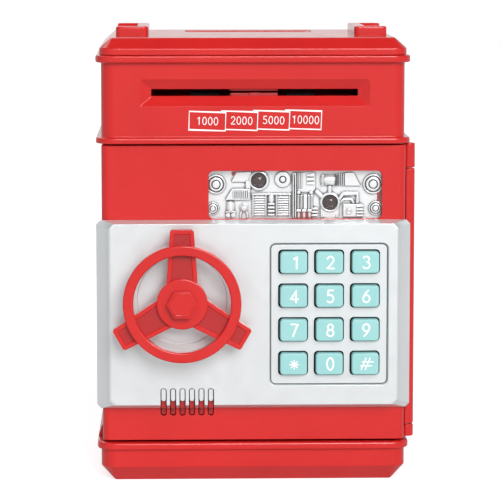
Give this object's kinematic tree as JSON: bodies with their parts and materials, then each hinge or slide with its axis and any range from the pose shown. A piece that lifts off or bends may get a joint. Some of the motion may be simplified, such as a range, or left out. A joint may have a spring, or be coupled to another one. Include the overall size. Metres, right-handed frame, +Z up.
{
  "type": "toy safe coin bank",
  "caption": "Box-shaped toy safe money bank with a hinged door, hand wheel, keypad, note slot with feed rollers and coin slot in the lid.",
  "frame": {"origin": "centre of the flat bottom face, where the bank rests", "axes": "+Z up, the door and note slot face -Y, the door's hinge is on the +X side"},
  "size_m": [0.1331, 0.1266, 0.1894],
  "materials": {
    "red_plastic": "glossy injection-moulded red ABS",
    "silver_plastic": "satin silver-painted ABS",
    "relief_silver": "silver-painted relief moulding with darkened recesses",
    "mint_plastic": "satin mint-green key caps with printed white numerals",
    "clear_plastic": "clear polystyrene window",
    "lamp_lens": "dark red translucent lamp lens",
    "black_plastic": "moulded black ABS",
    "white_plastic": "natural white acetal",
    "rubber": "soft moulded rubber",
    "steel": "zinc-plated steel",
    "circuit_board": "green solder mask on glass fibre",
    "cell_jacket": "plain printed sleeve of an AA cell"
  },
  "bodies": {
    "case": {"base_tray": "red_plastic", "case_shell": "red_plastic", "head_shell": "red_plastic", "top_lid": "red_plastic", "mechanism_deck": "black_plastic", "coin_chute": "black_plastic", "lower_note_guide": "red_plastic", "upper_note_guide": "red_plastic", "feed_motor": "steel", "battery_box": "black_plastic", "left_contacts": "steel", "right_contacts": "steel", "battery_cell_1": "cell_jacket", "battery_cell_2": "cell_jacket", "battery_cell_3": "cell_jacket", "strike_plate": "steel", "hinge_bracket": "red_plastic", "hinge_pin": "steel", "case_screw_1": "steel", "case_screw_2": "steel", "case_screw_3": "steel", "case_screw_4": "steel"},
    "feed_roller": {"feed_shaft": "steel", "feed_rollers": "rubber", "feed_gear": "white_plastic"},
    "pinch_roller": {"pinch_shaft": "steel", "pinch_rollers": "rubber"},
    "idler_gear": {"idler_gear": "white_plastic"},
    "motor_pinion": {"motor_pinion": "white_plastic"},
    "battery_cover": {"battery_cover": "red_plastic", "cover_screw": "steel"},
    "door": {"door_panel": "red_plastic", "door_back_cover": "red_plastic", "silver_fascia": "silver_plastic", "relief_plate": "relief_silver", "window_pane": "clear_plastic", "led_left": "lamp_lens", "led_right": "lamp_lens", "keypad_mat": "rubber", "circuit_board": "circuit_board", "speaker": "black_plastic", "hinge_leaf": "red_plastic", "lock_solenoid": "steel"},
    "hand_wheel": {"hand_wheel": "red_plastic", "hub_cap": "red_plastic", "wheel_shaft": "white_plastic"},
    "latch_bolt": {"latch_bolt": "white_plastic"},
    "lock_plunger": {"lock_plunger": "steel"},
    "key_1": {"key_1": "mint_plastic"},
    "key_2": {"key_2": "mint_plastic"},
    "key_3": {"key_3": "mint_plastic"},
    "key_4": {"key_4": "mint_plastic"},
    "key_5": {"key_5": "mint_plastic"},
    "key_6": {"key_6": "mint_plastic"},
    "key_7": {"key_7": "mint_plastic"},
    "key_8": {"key_8": "mint_plastic"},
    "key_9": {"key_9": "mint_plastic"},
    "key_star": {"key_star": "mint_plastic"},
    "key_0": {"key_0": "mint_plastic"},
    "key_hash": {"key_hash": "mint_plastic"}
  },
  "joints": [
    {"name": "door_hinge", "type": "hinge", "parent": "case", "child": "door", "pos_m": [0.065, -0.042, 0.08], "axis": [0, 0, 1], "range_deg": [0, 110]},
    {"name": "wheel_turn", "type": "hinge", "parent": "door", "child": "hand_wheel", "pos_m": [-0.0297, -0.068, 0.0776], "axis": [0, 1, 0], "range_deg": [-80, 0]},
    {"name": "bolt_slide", "type": "slide", "parent": "door", "child": "latch_bolt", "axis": [1, 0, 0], "range_m": [-0.0056, 0]},
    {"name": "plunger_slide", "type": "slide", "parent": "door", "child": "lock_plunger", "axis": [0, 0, 1], "range_m": [-0.0028, 0]},
    {"name": "battery_cover_hinge", "type": "hinge", "parent": "case", "child": "battery_cover", "pos_m": [0, 0.0502, 0.0878], "axis": [-1, 0, 0], "range_deg": [0, 100]},
    {"name": "feed_roller_spin", "type": "hinge", "parent": "case", "child": "feed_roller", "pos_m": [0, -0.036, 0.1564], "axis": [1, 0, 0], "continuous": true},
    {"name": "pinch_roller_spin", "type": "hinge", "parent": "case", "child": "pinch_roller", "pos_m": [0, -0.036, 0.1682], "axis": [1, 0, 0], "continuous": true},
    {"name": "idler_gear_spin", "type": "hinge", "parent": "case", "child": "idler_gear", "pos_m": [0.051, -0.01745, 0.1564], "axis": [1, 0, 0], "continuous": true},
    {"name": "motor_pinion_spin", "type": "hinge", "parent": "case", "child": "motor_pinion", "pos_m": [0.051, -0.0045, 0.1564], "axis": [1, 0, 0], "continuous": true},
    {"name": "key_1_press", "type": "slide", "parent": "door", "child": "key_1", "axis": [0, 1, 0], "range_m": [0, 0.0012], "stiffness_N_per_m": 600},
    {"name": "key_2_press", "type": "slide", "parent": "door", "child": "key_2", "axis": [0, 1, 0], "range_m": [0, 0.0012], "stiffness_N_per_m": 600},
    {"name": "key_3_press", "type": "slide", "parent": "door", "child": "key_3", "axis": [0, 1, 0], "range_m": [0, 0.0012], "stiffness_N_per_m": 600},
    {"name": "key_4_press", "type": "slide", "parent": "door", "child": "key_4", "axis": [0, 1, 0], "range_m": [0, 0.0012], "stiffness_N_per_m": 600},
    {"name": "key_5_press", "type": "slide", "parent": "door", "child": "key_5", "axis": [0, 1, 0], "range_m": [0, 0.0012], "stiffness_N_per_m": 600},
    {"name": "key_6_press", "type": "slide", "parent": "door", "child": "key_6", "axis": [0, 1, 0], "range_m": [0, 0.0012], "stiffness_N_per_m": 600},
    {"name": "key_7_press", "type": "slide", "parent": "door", "child": "key_7", "axis": [0, 1, 0], "range_m": [0, 0.0012], "stiffness_N_per_m": 600},
    {"name": "key_8_press", "type": "slide", "parent": "door", "child": "key_8", "axis": [0, 1, 0], "range_m": [0, 0.0012], "stiffness_N_per_m": 600},
    {"name": "key_9_press", "type": "slide", "parent": "door", "child": "key_9", "axis": [0, 1, 0], "range_m": [0, 0.0012], "stiffness_N_per_m": 600},
    {"name": "key_star_press", "type": "slide", "parent": "door", "child": "key_star", "axis": [0, 1, 0], "range_m": [0, 0.0012], "stiffness_N_per_m": 600},
    {"name": "key_0_press", "type": "slide", "parent": "door", "child": "key_0", "axis": [0, 1, 0], "range_m": [0, 0.0012], "stiffness_N_per_m": 600},
    {"name": "key_hash_press", "type": "slide", "parent": "door", "child": "key_hash", "axis": [0, 1, 0], "range_m": [0, 0.0012], "stiffness_N_per_m": 600}
  ],
  "couplings": [
    {"joint": "bolt_slide", "follows": "wheel_turn", "m_per_rad": 0.004},
    {"joint": "plunger_slide", "follows": "wheel_turn", "m_per_rad": 0.002},
    {"joint": "pinch_roller_spin", "follows": "feed_roller_spin", "ratio": -1.24},
    {"joint": "idler_gear_spin", "follows": "feed_roller_spin", "ratio": -1.0909},
    {"joint": "motor_pinion_spin", "follows": "feed_roller_spin", "ratio": 2.4}
  ]
}
